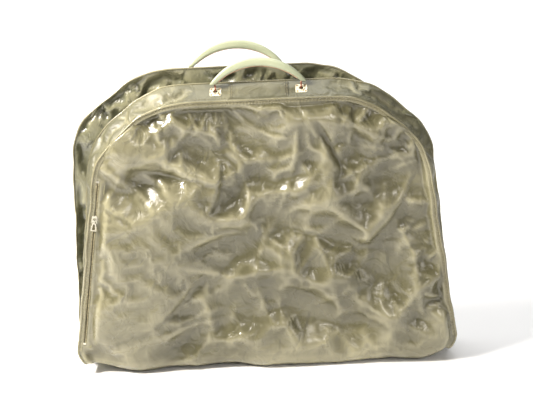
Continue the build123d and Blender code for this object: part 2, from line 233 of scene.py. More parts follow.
def coons(bottom, top, left, right):
    """A grid that fills four edges. Left and right run upwards, bottom and top run across."""
    rows, cols = len(left), len(bottom)
    across = np.linspace(0, 1, cols)[None, :, None]
    up = np.linspace(0, 1, rows)[:, None, None]
    ruled = (1 - up) * bottom[None] + up * top[None]
    sided = (1 - across) * left[:, None] + across * right[:, None]
    corners = (1 - up) * ((1 - across) * bottom[0] + across * bottom[-1])
    corners = corners + up * ((1 - across) * top[0] + across * top[-1])
    return ruled + sided - corners


def panel_grid(half, raised, rows, cols, floor):
    """A flat arched panel, rows from its foot to its crown."""
    left = seam_line(half, raised, rows, 0, SIDE_SHARE, floor)
    top = seam_line(half, raised, cols, SIDE_SHARE, 1 - SIDE_SHARE, floor)
    right = seam_line(half, raised, rows, 1 - SIDE_SHARE, 1, floor)[::-1]
    bottom = np.linspace(left[0], right[0], cols)
    return coons(bottom, top, left, right)


def fold_section(reach, low, top, radius, count):
    """Half of the fold's section, as (y, z) from the middle of the bottom up to one side."""
    turn = np.linspace(-math.pi / 2, 0, 16)
    arc = np.stack([reach - radius + radius * np.cos(turn), low + radius + radius * np.sin(turn)], axis=1)
    path = np.vstack([[(0, low)], arc, [(reach, top)]])
    return resample(path, count)


def rest_on_floor(points):
    """Lift the fold's two corners and draw them in. Its bottom edge wanders. All fades out at its top."""
    x = points[..., 0]
    corner = smooth((np.abs(x) - CORNER_START) / CORNER_RUN)
    wander = (1 + np.sin(x * 23 + 0.6)) * 1.6 * MM + (1 + np.sin(x * 61)) * 0.7 * MM
    low = np.clip(1 - points[..., 2] / FOLD_TOP, 0, 1) ** 1.5
    points[..., 2] += low * (CORNER_LIFT * corner + wander)
    points[..., 0] -= np.sign(x) * low * CORNER_TUCK * corner
    return points


# ---- the soft solver ----

def normals_of(grid):
    down = np.gradient(grid, axis=0)
    across = np.gradient(grid, axis=1)
    return unit(np.cross(across, down))


def span(start, shift, size, step):
    return slice(start, size - shift, step), slice(start + shift, size, step)


def link_groups(rows, cols):
    """Neighbouring pairs, in groups whose pairs share no point. The last value marks a bending pair."""
    whole = slice(None)
    groups = []
    for start in (0, 1):
        a, b = span(start, 1, cols, 2)
        groups.append(((whole, a), (whole, b), False))
        a, b = span(start, 1, rows, 2)
        groups.append(((a, whole), (b, whole), False))
        left, right = slice(0, cols - 1), slice(1, cols)
        groups.append(((a, left), (b, right), False))
        groups.append(((a, right), (b, left), False))
    for start in range(4):
        a, b = span(start, 2, cols, 4)
        groups.append(((whole, a), (whole, b), True))
        a, b = span(start, 2, rows, 4)
        groups.append(((a, whole), (b, whole), True))
    return groups


def relax(points, rest, nominal, mobility, reach, slack, rounds, bend):
    """Settle a sheet that is a little too big for the seams that hold it."""
    links = []
    for a, b, bending in link_groups(*points.shape[:2]):
        length = np.linalg.norm(rest[b] - rest[a], axis=-1, keepdims=True) * (1 + slack[a])
        ease = (bend if bending else 1.0) / np.maximum(mobility[a] + mobility[b], 1e-6)
        links.append((a, b, length, ease * mobility[a], ease * mobility[b]))
    for _ in range(rounds):
        for a, b, length, move_a, move_b in links:
            gap = points[b] - points[a]
            now = np.sqrt((gap * gap).sum(axis=-1, keepdims=True)) + 1e-9
            gap *= 1 - length / now
            points[a] += gap * move_a
            points[b] -= gap * move_b
        away = points - nominal
        far = np.sqrt((away * away).sum(axis=-1, keepdims=True)) + 1e-9
        points[...] = nominal + away * np.minimum(1, reach / far)
    return points


def doubled(grid):
    """The grid with a point added between each two neighbours."""
    rows, cols = grid.shape[:2]
    taller = np.empty((2 * rows - 1, cols, 3), grid.dtype)
    taller[::2] = grid
    taller[1::2] = (grid[1:] + grid[:-1]) / 2
    wider = np.empty((2 * rows - 1, 2 * cols - 1, 3), grid.dtype)
    wider[:, ::2] = taller
    wider[:, 1::2] = (taller[:, 1:] + taller[:, :-1]) / 2
    return wider


def settle(nominal, relief, mobility, reach, slack, rounds=(220, 110, 30), bend=0.2):
    """Solve a sheet from coarse to fine. Its rows and columns are one more than a multiple of 4."""
    nominal = nominal.astype(np.float32)
    shaped = (nominal + relief).astype(np.float32)
    points = None
    for step, count in zip((4, 2, 1), rounds):
        pick = (slice(None, None, step), slice(None, None, step))
        target = shaped[pick]
        if points is None:
            points = target.copy()
        else:
            detail = target - doubled(shaped[::2 * step, ::2 * step])
            points = doubled(points) + detail
        held = mobility[pick].astype(np.float32)
        points = points * (held > 0) + nominal[pick] * (held == 0)
        limits = reach[pick].astype(np.float32)
        extra = slack[pick].astype(np.float32)
        points = relax(points, target, nominal[pick], held, limits, extra, count, bend)
    return points.astype(np.float64)


# ---- folds ----

def bowed(start, end, bow, count=9):
    """Points on a shallow arc between two places. The bow is a share of their distance."""
    start, end = np.array(start), np.array(end)
    side = np.array([start[1] - end[1], end[0] - start[0]])
    middle = (start + end) / 2 + 2 * bow * side
    share = np.linspace(0, 1, count)[:, None]
    return (1 - share) ** 2 * start + 2 * share * (1 - share) * middle + share**2 * end


def fold_relief(plan, start, end, bow, height, width, lee):
    """A fold's height over a plan, faded towards its ends, and lee times wider on its left."""
    line = bowed(start, end, bow)
    best = np.full(plan.shape[:2], 1e9)
    where = np.zeros(plan.shape[:2])
    left = np.zeros(plan.shape[:2], bool)
    for index, (a, b) in enumerate(zip(line, line[1:])):
        run = b - a
        away = plan - a
        share = np.clip((away @ run) / (run @ run), 0, 1)
        distance = np.linalg.norm(away - share[..., None] * run, axis=-1)
        nearer = distance < best
        best = np.where(nearer, distance, best)
        where = np.where(nearer, (index + share) / (len(line) - 1), where)
        left = np.where(nearer, run[0] * away[..., 1] > run[1] * away[..., 0], left)
    fade = np.sqrt(np.clip(4 * where * (1 - where), 0, 1))
    spread = width * (0.5 + 0.5 * fade) * np.where(left, lee, 1.0)
    rounded_off = np.sqrt(best**2 + CREST_ROUND**2) - CREST_ROUND
    return height * fade * np.exp(-rounded_off / spread)


def stacked(plan, folds):
    """Folds over one another: the tallest ridge and the deepest trough at each place."""
    ridge = np.zeros(plan.shape[:2])
    trough = np.zeros(plan.shape[:2])
    for fold in folds:
        relief = fold_relief(plan, *fold)
        ridge = np.maximum(ridge, relief)
        trough = np.minimum(trough, relief)
    return ridge + trough


def fan(random, root, heading, spread, count, length, height, width):
    """Folds that run out from one place, at uneven angles about a heading in degrees."""
    folds = []
    for index in range(count):
        turn = (index + random.uniform(0.1, 0.9)) / count - 0.5
        angle = math.radians(heading + spread * turn)
        along = np.array([math.cos(angle), math.sin(angle)])
        reach = length * random.uniform(0.55, 1.0)
        start = root + along * reach * random.uniform(0.05, 0.3)
        tall = height * random.uniform(0.6, 1.0) * random.choice([-1, 1, 1])
        wide = width * random.uniform(0.6, 1.2)
        lee = random.choice([LEE, 1 / LEE])
        folds.append((start, root + along * reach, random.uniform(-0.16, 0.16), tall, wide, lee))
    return folds


def minor_folds(plan, count, seed, height):
    """Seeded small folds all over a sheet."""
    random = np.random.default_rng(seed)
    low = plan.reshape(-1, 2).min(axis=0)
    high = plan.reshape(-1, 2).max(axis=0)
    folds = []
    for _ in range(count):
        folds += fan(random, random.uniform(low, high), 0, 360, 1, 0.14, height, 11 * MM)
    return folds


def plate_place(half, side):
    low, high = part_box(f"{half}_eyelet_plate_{side}")
    return np.array([(low[0] + high[0]) / 2, low[2]])


def long_folds(half):
    """Folds that hang from the plates and the shoulders and fan out of the middle and the base corners."""
    random = np.random.default_rng(SEED + 20 + (half == "back"))
    crown = top_of(half, 0)
    tall = crown - FOLD_TOP
    left, right = plate_place(half, "left"), plate_place(half, "right")
    folds = []
    for drop in (0.1, 0.22):
        sag = np.array([0, drop * tall])
        folds.append((left - sag, right - sag, -0.12, 9 * MM, 15 * MM, LEE))
    for place in (left, right):
        folds += fan(random, place, -90, 130, 4, 0.6 * tall, 11 * MM, 13 * MM)
    for side in (-1, 1):
        shoulder = np.array([side * SHOULDER_HALF[half], crown - SHOULDER_DROP])
        folds += fan(random, shoulder, -90 - 50 * side, 90, 4, 0.6 * tall, 10 * MM, 13 * MM)
        corner = np.array([side * BASE_HALF, 0.5 * FOLD_TOP])
        folds += fan(random, corner, 90 + 45 * side, 80, 5, 0.7 * tall, 10 * MM, 13 * MM)
    middle = np.array([lean_of(half), FOLD_TOP + 0.5 * tall])
    folds += fan(random, middle, 0, 360, 8, 0.62 * tall, 12 * MM, 15 * MM)
    return folds


def seam_folds(half, raised, count):
    """Short uneven folds that run in from a seam."""
    random = np.random.default_rng(SEED + 30 + 2 * raised + (half == "back"))
    line = seam_line(half, raised, 400)
    inward = inward_of(line)
    folds = []
    for place in random.integers(10, 390, count):
        heading = math.degrees(math.atan2(inward[place, 2], inward[place, 0]))
        length = random.uniform(0.03, 0.1)
        folds += fan(random, line[place, [0, 2]], heading, 90, 1, length, 8 * MM, 5 * MM)
    return folds


def dented(plan, spacing, height, seed):
    """Smooth dents side by side, with sharp crests where they meet."""
    random = np.random.default_rng(seed)
    low = plan.reshape(-1, 2).min(axis=0) - spacing / 2
    high = plan.reshape(-1, 2).max(axis=0) + spacing / 2
    lowest = np.full(plan.shape[:2], 1e9)
    for _ in range(int(np.prod((high - low) / spacing))):
        away = plan - random.uniform(low, high)
        angle = random.uniform(0, math.pi)
        stretch = random.uniform(1.0, DENT_STRETCH)
        along = (away[..., 0] * math.cos(angle) + away[..., 1] * math.sin(angle)) / stretch
        across = (away[..., 1] * math.cos(angle) - away[..., 0] * math.sin(angle)) * stretch
        distance = np.sqrt(along**2 + across**2 + (DENT_ROUND * spacing) ** 2)
        lowest = np.minimum(lowest, distance + random.uniform(-DENT_LEVELS, DENT_LEVELS) * spacing)
    return height * (lowest - lowest.mean()) / spacing


def crumple(plan, seed, height):
    """Large and small dents with minor folds over them."""
    large = dented(plan, LARGE_DENT, LARGE_SHARE * height, seed)
    small = dented(plan, SMALL_DENT, SMALL_SHARE * height, seed + 50)
    return large + small + stacked(plan, minor_folds(plan, MINOR_FOLDS, seed, 0.5 * height))


def panel_relief(half, plan):
    """A whole panel's crumples, with its long folds and the short ones along its seam."""
    folds = long_folds(half) + seam_folds(half, 0, SEAM_FOLDS)
    heights = crumple(plan, SEED + (half == "back"), CRUMPLE[half]) + stacked(plan, folds)
    return TALLEST * np.tanh(blurred(heights, 1) / TALLEST)


# ---- meshes ----

def add_mesh(name, points, faces, material):
    mesh = bpy.data.meshes.new(name)
    mesh.from_pydata([tuple(point) for point in points], [], faces)
    mesh.update()
    mesh.polygons.foreach_set("use_smooth", [True] * len(mesh.polygons))
    mesh.materials.append(material)
    piece = bpy.data.objects.new(name, mesh)
    bpy.context.scene.collection.objects.link(piece)
    return piece


def grid_faces(rows, cols, round_cols=False, offset=0):
    """Quads over a grid. round_cols joins the last column to the first."""
    index = np.arange(rows * cols).reshape(rows, cols) + offset
    if round_cols:
        index = np.hstack([index, index[:, :1]])
    corners = [index[:-1, :-1], index[:-1, 1:], index[1:, 1:], index[1:, :-1]]
    return np.stack([corner.ravel() for corner in corners], axis=1).tolist()


def tube_faces(rows, sides, offset=0):
    """Quads round a tube, and a face over each of its ends."""
    faces = grid_faces(rows, sides, round_cols=True, offset=offset)
    faces.append([offset + k for k in range(sides)][::-1])
    faces.append([offset + (rows - 1) * sides + k for k in range(sides)])
    return faces


def blurred(grid, times):
    """The grid averaged with its neighbours, again and again."""
    soft = grid.copy()
    for _ in range(times):
        soft[1:-1] = (soft[:-2] + 2 * soft[1:-1] + soft[2:]) / 4
        soft[:, 1:-1] = (soft[:, :-2] + 2 * soft[:, 1:-1] + soft[:, 2:]) / 4
    return soft


def painted_light_and_wear_of(grid):
    """The painted light and wear at each point, from 0 to 1: the flat level on a flat, lower in a valley as
    painted shade, higher on a crest as painted highlight and pale wear.
    """
    wide, broad = blurred(grid, FINE_BLUR), blurred(grid, BROAD_BLUR)
    normal = -normals_of(broad)
    line = ((grid - wide) * normal).sum(axis=-1) / CREST_LINE
    swell = ((wide - broad) * normal).sum(axis=-1) / CREST_SWELL
    return np.clip(FLAT_LIGHT_AND_WEAR + LINE_LIGHT_AND_WEAR * np.clip(line, -0.6, 1.9) + SWELL_LIGHT_AND_WEAR * swell, 0, 1)


def grid_piece(name, grid, material, outward=1, slot=None):
    """A sheet's mesh, with its values of painted highlight, painted shade and wear on crests and in
    valleys. The slot marks cells that are left out.
    """
    rows, cols = grid.shape[:2]
    faces = np.array(grid_faces(rows, cols))
    if slot is not None:
        faces = faces[~slot.ravel()]
    used, faces = np.unique(faces, return_inverse=True)
    piece = add_mesh(name, grid.reshape(-1, 3)[used], faces.reshape(-1, 4).tolist(), material)
    painted_light_and_wear = painted_light_and_wear_of(grid).ravel()[used]
    if outward < 0:
        painted_light_and_wear = 1 - painted_light_and_wear
    values = piece.data.attributes.new("painted_light_and_wear", "FLOAT", "POINT")
    values.data.foreach_set("value", painted_light_and_wear.astype(np.float32))
    return piece


def tube_rings(path, radius, sides):
    """Rings round a path. The radius is one value, or one for each point."""
    along = unit(np.gradient(path, axis=0))
    side = unit(np.cross(along, (0.0, 1.0, 0.0)))
    other = np.cross(side, along)
    turn = np.linspace(0, 2 * math.pi, sides, endpoint=False)[None, :, None]
    radius = np.broadcast_to(radius, (len(path),))[:, None, None]
    return path[:, None] + radius * (np.cos(turn) * side[:, None] + np.sin(turn) * other[:, None])


def tube_piece(name, path, radius, material, sides=10):
    rings = tube_rings(path, radius, sides)
    return add_mesh(name, rings.reshape(-1, 3), tube_faces(len(path), sides), material)


def stitch_piece(name, paths, material, pitch=STITCH_PITCH, thread=0.35 * MM):
    """Short thread stitches along one or more lines, as one mesh."""
    points, faces = [], []
    sides, rings_each = 6, 5
    swell = np.sin(np.linspace(0.25, math.pi - 0.25, rings_each))
    for path in paths:
        length = np.linalg.norm(np.diff(path, axis=0), axis=1).sum()
        count = int(length / pitch)
        line = resample(path, rings_each * count)
        for index in range(count):
            run = line[rings_each * index:rings_each * (index + 1)]
            middle = run.mean(axis=0)
            run = middle + (run - middle) * 0.85
            rings = tube_rings(run, thread * swell, sides)
            first = len(points)
            points.extend(rings.reshape(-1, 3))
            faces.extend(tube_faces(rings_each, sides, offset=first))
    return add_mesh(name, points, faces, material)


# ---- materials ----

def new_material(name, metallic=0.0, coat=0.0, specular=0.5):
    material = bpy.data.materials.new(name)
    material.use_nodes = True
    tree = material.node_tree
    shader = tree.nodes["Principled BSDF"]
    shader.inputs["Metallic"].default_value = metallic
    shader.inputs["Coat Weight"].default_value = coat
    shader.inputs["Coat Roughness"].default_value = 0.22
    shader.inputs["Specular IOR Level"].default_value = specular
    return material, tree, shader


def object_place(tree):
    return tree.nodes.new("ShaderNodeTexCoord").outputs["Object"]


def noise(tree, place, scale, detail=3.0, distortion=0.0):
    node = tree.nodes.new("ShaderNodeTexNoise")
    tree.links.new(place, node.inputs["Vector"])
    node.inputs["Scale"].default_value = scale
    node.inputs["Detail"].default_value = detail
    node.inputs["Distortion"].default_value = distortion
    return node.outputs["Fac"]


def ramp(tree, factor, stops):
    """Colours or greys by place on a ramp, as (place, colour) pairs."""
    node = tree.nodes.new("ShaderNodeValToRGB")
    tree.links.new(factor, node.inputs["Fac"])
    elements = node.color_ramp.elements
    while len(elements) < len(stops):
        elements.new(0.5)
    for element, (place, colour) in zip(elements, stops):
        element.position = place
        element.color = (*colour, 1) if len(colour) == 3 else (colour[0],) * 3 + (1,)
    return node.outputs["Color"]


def bump(tree, shader, height, strength, distance, before=None):
    node = tree.nodes.new("ShaderNodeBump")
    node.inputs["Strength"].default_value = strength
    node.inputs["Distance"].default_value = distance
    tree.links.new(height, node.inputs["Height"])
    if before is not None:
        tree.links.new(before, node.inputs["Normal"])
    tree.links.new(node.outputs["Normal"], shader.inputs["Normal"])
    return node.outputs["Normal"]


def colour_and_roughness(tree, shader, factor, colours, rough_factor, roughness):
    tree.links.new(ramp(tree, factor, colours), shader.inputs["Base Color"])
    grey = [(0.3, (roughness[0],)), (0.7, (roughness[1],))]
    tree.links.new(ramp(tree, rough_factor, grey), shader.inputs["Roughness"])


def weighted(tree, first, second, share):
    """Two factors added together, the second with the given share."""
    node = tree.nodes.new("ShaderNodeMix")
    node.inputs["Factor"].default_value = share
    tree.links.new(first, node.inputs["A"])
    tree.links.new(second, node.inputs["B"])
    return node.outputs["Result"]


def vinyl(name, dark, light, roughness=(0.22, 0.38), crease=0.6, worn=0.0, coat=0.5):
    """Glossy vinyl: cloudy olive, a fine grain, small soft creases, and with a share set, crests painted
    pale as painted highlight and wear, valleys painted darker as painted shade.
    """
    material, tree, shader = new_material(name, coat=coat)
    place = object_place(tree)
    tone_factor = noise(tree, place, 9, detail=4)
    patch = noise(tree, place, 23, detail=3)
    # Painted highlight and wear on crests and painted shade in valleys, from the point attribute, patchy by
    # noise and mixed into the colour.
    if worn:
        painted_light_and_wear = tree.nodes.new("ShaderNodeAttribute")
        painted_light_and_wear.attribute_name = "painted_light_and_wear"
        patchy_light_and_wear = tree.nodes.new("ShaderNodeMix")
        patchy_light_and_wear.inputs["A"].default_value = 0.5
        tree.links.new(noise(tree, place, 16, detail=2), patchy_light_and_wear.inputs["Factor"])
        tree.links.new(painted_light_and_wear.outputs["Fac"], patchy_light_and_wear.inputs["B"])
        tone_factor = weighted(tree, tone_factor, patchy_light_and_wear.outputs["Result"], worn)
    # Where the attribute is mixed in, the darkest stop gives the valleys' painted shade and the palest, 1.7
    # times light, the crests' painted highlight.
    stops = [(0.2, tuple(part * 0.6 for part in dark)), (0.45, dark), (0.62, light)]
    stops.append((0.85, tuple(min(1, part * 1.7) for part in light)))
    colour_and_roughness(tree, shader, tone_factor, stops, patch, roughness)
    soft = bump(tree, shader, noise(tree, place, 38, detail=2, distortion=1.2), crease, 4 * MM)
    bump(tree, shader, noise(tree, place, 330, detail=3), 0.22, 0.3 * MM, before=soft)
    return material


def rusted(name, clean, rust, metallic, amount, roughness=(0.35, 0.7)):
    """Paint or metal with rust in spots. The amount is from 0 to 1."""
    material, tree, shader = new_material(name, metallic=metallic)
    place = object_place(tree)
    spots = noise(tree, place, 420, detail=6, distortion=0.6)
    edge = 0.72 - 0.35 * amount
    stops = [(edge - 0.06, clean), (edge, rust), (edge + 0.12, tuple(part * 0.5 for part in rust))]
    colour_and_roughness(tree, shader, spots, stops, spots, roughness)
    bump(tree, shader, spots, 0.4, 0.3 * MM)
    return material


def woven(name, dark, light, scale):
    material, tree, shader = new_material(name, specular=0.2)
    place = object_place(tree)
    weave = noise(tree, place, scale, detail=1)
    colour_and_roughness(tree, shader, weave, [(0.35, dark), (0.65, light)], weave, (0.7, 0.9))
    bump(tree, shader, weave, 0.5, 0.3 * MM)
    return material


# The three sheets' vinyls paint crests pale and valleys dark from the point attribute: painted highlight
# and painted shade, with wear.
OUTER_VINYL = vinyl("outer_vinyl", (0.092, 0.085, 0.043), (0.19, 0.177, 0.108), worn=0.5, crease=0.8)
INNER_VINYL = vinyl("inner_vinyl", (0.125, 0.125, 0.072), (0.22, 0.21, 0.125), crease=0.9, worn=0.45)
GUSSET_VINYL = vinyl(
    "gusset_vinyl", (0.088, 0.085, 0.048), (0.17, 0.16, 0.095), (0.4, 0.55), crease=0.9, worn=0.4, coat=0.05
)
PIPING_VINYL = vinyl("piping_vinyl", (0.15, 0.137, 0.075), (0.24, 0.222, 0.133), crease=0.2)
HANDLE_VINYL = vinyl("handle_vinyl", (0.33, 0.36, 0.235), (0.43, 0.46, 0.31), (0.32, 0.45), crease=0.1)
BINDING = woven("handle_binding_leather", (0.48, 0.22, 0.15), (0.66, 0.36, 0.26), 500)
THREAD = woven("thread", (0.10, 0.085, 0.05), (0.34, 0.31, 0.20), 1500)
TAPE = woven("zip_tape_weave", (0.18, 0.17, 0.10), (0.27, 0.25, 0.15), 1200)
PLATE_PAINT = rusted("plate_paint", (0.60, 0.58, 0.44), (0.24, 0.11, 0.05), 0.0, 0.3)
RIVET_METAL = rusted("rivet_brass", (0.42, 0.33, 0.17), (0.20, 0.09, 0.04), 0.7, 0.5)
HOOK_METAL = rusted("hook_steel", (0.36, 0.24, 0.17), (0.33, 0.11, 0.06), 0.5, 0.9)
ZIP_TEETH = woven("zip_teeth", (0.16, 0.14, 0.08), (0.30, 0.27, 0.17), 400)
ZIP_METAL = rusted("zip_metal_bright", (0.50, 0.48, 0.39), (0.45, 0.38, 0.26), 0.9, 0.1, (0.22, 0.4))
BOARD = woven("fibreboard", (0.20, 0.14, 0.09), (0.32, 0.24, 0.17), 700)
CORE = woven("handle_core_rubber", (0.06, 0.05, 0.04), (0.11, 0.09, 0.08), 600)

NODE_MATERIALS = {
    "eyelet_plate_left": PLATE_PAINT,
    "eyelet_plate_right": PLATE_PAINT,
    "backing_plates": PLATE_PAINT,
    "plate_rivets": RIVET_METAL,
    "handle_hook_left": HOOK_METAL,
    "handle_hook_right": HOOK_METAL,
    "stiffener": BOARD,
    "handle_core": CORE,
    "zip_tapes": TAPE,
    "zip_chain": ZIP_TEETH,
    "zip_stops": ZIP_METAL,
    "zip_slider": ZIP_METAL,
    "zip_pull": ZIP_METAL,
}


def finish_cad_nodes():
    for name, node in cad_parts.items():
        plain = name.removeprefix("front_").removeprefix("back_")
        material = NODE_MATERIALS.get(plain)
        if material is None:
            continue
        node.data.materials.clear()
        node.data.materials.append(material)


# ---- the sheets ----

def edge_distance(grid):
    """Each point's distance to the nearest of the two sides and the crown of a panel."""
    left = np.linalg.norm(grid - grid[:, :1], axis=-1)
    right = np.linalg.norm(grid - grid[:, -1:], axis=-1)
    crown = np.linalg.norm(grid - grid[-1:], axis=-1)
    return np.minimum(np.minimum(left, right), crown)


def zip_ends():
    """The zip chain's foot and head, as (x, z)."""
    low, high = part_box("zip_chain")
    return np.array([low[0] + ZIP_CHAIN_HALF, low[2]]), np.array([high[0] - ZIP_CHAIN_HALF, high[2]])


def zip_distance(grid):
    foot, head = zip_ends()
    plan = grid[..., [0, 2]]
    run = head - foot
    share = np.clip(((plan - foot) @ run) / (run @ run), 0, 1)
    return np.linalg.norm(plan - (foot + share[..., None] * run), axis=-1)


FRONT_ROWS, FOLD_ROWS, BACK_ROWS, PANEL_COLS = 132, 28, 136, 221


def half_skin(half, rows):
    """One half of the outer skin, from the middle of the fold up to the crown."""
    panel = panel_grid(half, 0, rows + 1, PANEL_COLS, FOLD_TOP)
    section = fold_section(OUTER_Y, FLOOR_GAP, FOLD_TOP, FOLD_RADIUS, FOLD_ROWS + 1)
    widen = smooth(1 - section[:, 1:] / FOLD_TOP)
    across = panel[0, :, 0]
    full = np.linspace(-FLOOR_HALF, FLOOR_HALF, PANEL_COLS)
    strip = np.empty((FOLD_ROWS + 1, PANEL_COLS, 3))
    strip[..., 0] = across * (1 - widen) + full * widen
    strip[..., 1] = SIGN[half] * section[:, :1]
    strip[..., 2] = section[:, 1:]
    return np.vstack([strip[:-1], panel])


def outer_skin():
    """One sheet: down the front, under the fold and up the back."""
    front = half_skin("front", FRONT_ROWS)
    back = half_skin("back", BACK_ROWS)
    nominal = np.vstack([front[::-1], back[1:]])
    split = len(front)
    distance = np.minimum(edge_distance(nominal), np.linalg.norm(nominal - nominal[:1], axis=-1))
    near_zip = zip_distance(nominal)
    near_zip[split:] = 1.0
    groove = ZIP_GROOVE * np.exp(-(near_zip / ZIP_GROOVE_HALF) ** 4)
    nominal[..., 1] += groove
    plan = nominal[..., [0, 2]]
    heights = np.vstack([panel_relief("front", plan[:split]), panel_relief("back", plan[split:])])
    low_calm = 0.45 + 0.55 * smooth(nominal[..., 2] / (2 * FOLD_TOP))
    free = smooth((distance - HEM_WIDTH) / HEM_FADE) * smooth((near_zip - ZIP_CALM) / ZIP_FADE)
    outward = -normals_of(nominal)
    relief = outward * (heights * free * low_calm)[..., None]
    reach = (0.3 * MM + REACH["outer"] * free) * (0.4 + 0.6 * smooth(nominal[..., 2] / (2 * FOLD_TOP)))
    mobility = np.ones(nominal.shape[:2])
    mobility[[0, -1]] = 0
    mobility[:, [0, -1]] = 0
    mobility[near_zip < ZIP_STILL] = 0
    slack = SLACK["outer"] * free * low_calm
    shape = settle(nominal, relief, mobility[..., None], reach[..., None], slack[..., None])
    shape[..., 2] = np.maximum(shape[..., 2], 0.2 * MM)
    rest_on_floor(shape)
    cells = (nominal[:-1, :-1] + nominal[1:, :-1] + nominal[:-1, 1:] + nominal[1:, 1:]) / 4
    slot = zip_distance(cells) < ZIP_SLOT_HALF
    slot[split:] = False
    skin = grid_piece("outer_skin", shape, OUTER_VINYL, slot=slot)
    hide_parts("front_outer_panel", "back_outer_panel", "fold_strip")
    blend_over_fold(skin)
    return skin


def blend_over_fold(piece):
    """Bake the piece's place into its mesh."""
    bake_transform(piece)


def inner_skin():
    """The two inner panels and the crease between them, as one sheet."""
    rows, crease_rows, cols = 110, 6, 161
    halves = []
    for half in ("front", "back"):
        panel = panel_grid(half, 1, rows + 1, cols, CREASE_TOP)
        section = fold_section(RIDGE_Y, CREASE_BOTTOM, CREASE_TOP, CREASE_RADIUS, crease_rows + 1)
        strip = np.repeat(panel[:1], crease_rows + 1, axis=0)
        strip[..., 1] = SIGN[half] * section[:, :1]
        strip[..., 2] = section[:, 1:]
        halves.append(np.vstack([strip[:-1], panel]))
    nominal = np.vstack([halves[0][::-1], halves[1][1:]])
    distance = np.minimum(edge_distance(nominal), np.linalg.norm(nominal - nominal[:1], axis=-1))
    free = smooth(distance / INNER_FADE) * smooth((nominal[..., 2] - INNER_LOW) / INNER_RISE)
    plan = nominal[..., [0, 2]] * np.sign(nominal[..., 1:2] + 1e-6)
    heights = np.abs(crumple(plan, SEED + 2, CRUMPLE["inner"]))
    split = len(halves[0])
    upright = nominal[..., [0, 2]]
    heights[:split] += np.abs(stacked(upright[:split], seam_folds("front", 1, SEAM_FOLDS)))
    heights[split:] += np.abs(stacked(upright[split:], seam_folds("back", 1, SEAM_FOLDS)))
    relief = np.zeros_like(nominal)
    relief[..., 1] = np.sign(nominal[..., 1]) * heights * free
    mobility = np.ones(nominal.shape[:2])
    mobility[[0, -1]] = 0
    mobility[:, [0, -1]] = 0
    reach = 0.1 * MM + REACH["inner"] * free
    slack = SLACK["inner"] * free
    shape = settle(nominal, relief, mobility[..., None], reach[..., None], slack[..., None])
    panels = nominal[..., 2] > CREASE_TOP
    away = np.sign(nominal[..., 1]) * np.maximum(np.abs(shape[..., 1]), RIDGE_Y)
    shape[..., 1] = np.where(panels, away, shape[..., 1])
    rest_on_floor(shape)
    skin = grid_piece("inner_skin", shape, INNER_VINYL, outward=-1)
    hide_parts("front_inner_panel", "back_inner_panel", "inner_fold_strip")
    blend_over_fold(skin)
    return skin


def gusset_skin(half):
    """The sloping band from the outer seam to the ridge, puckered except under the plates."""
    cols, rows = 601, 21
    outer = seam_line(half, 0, cols)
    ridge = seam_line(half, 1, cols)
    share = np.linspace(0, 1, rows)[:, None, None]
    nominal = outer[None] * (1 - share) + ridge[None] * share
    along = np.linspace(0, np.linalg.norm(np.diff(outer, axis=0), axis=1).sum(), cols)
    plan = np.empty((rows, cols, 2))
    plan[..., 0] = along[None]
    plan[..., 1] = share[..., 0] * GUSSET_WIDTH
    seed = SEED + (3 if half == "front" else 4)
    heights = stacked(plan, minor_folds(plan, GUSSET_FOLDS, seed, 6 * MM))
    crown = nominal[..., 2] > top_of(half, 0) - 20 * MM
    lean_away = np.abs(nominal[..., 0] - lean_of(half))
    beside_plates = np.where(crown, smooth((lean_away - PLATE_CLEAR) / (30 * MM)), 1.0)
    middle = np.sin(math.pi * share[..., 0])
    free = beside_plates * middle
    outward = normals_of(nominal) * SIGN[half]
    outward = outward * np.sign((outward * (nominal - (0, 0, 0.2))).sum(axis=-1, keepdims=True))
    relief = outward * ((heights - 2 * MM) * free)[..., None]
    mobility = np.ones((rows, cols))
    mobility[[0, -1]] = 0
    mobility[:, [0, -1]] = 0
    reach = 0.05 * MM + REACH["gusset"] * free
    slack = SLACK["gusset"] * free
    shape = settle(nominal, relief, mobility[..., None], reach[..., None], slack[..., None])
    skin = grid_piece(f"{half}_gusset_skin", shape, GUSSET_VINYL)
    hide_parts(f"{half}_gusset")
    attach(skin, f"{half}_half")
    return skin


def fold_edge_piping(name, line):
    """The piping that carries on round an end of the fold."""
    sides = 10
    turn = np.linspace(0, 2 * math.pi, sides, endpoint=False)
    along = unit(np.gradient(line, axis=0))
    out = np.broadcast_to((1.0, 0.0, 0.0), line.shape)
    out = unit(out - (out * along).sum(axis=1, keepdims=True) * along)
    other = np.cross(out, along)
    spread = np.cos(turn)[None, :, None] * out[:, None] + np.sin(turn)[None, :, None] * other[:, None]
    rings = line[:, None] + PIPING_OUTER * spread
    return add_mesh(name, rings.reshape(-1, 3), tube_faces(len(line), sides), PIPING_VINYL)


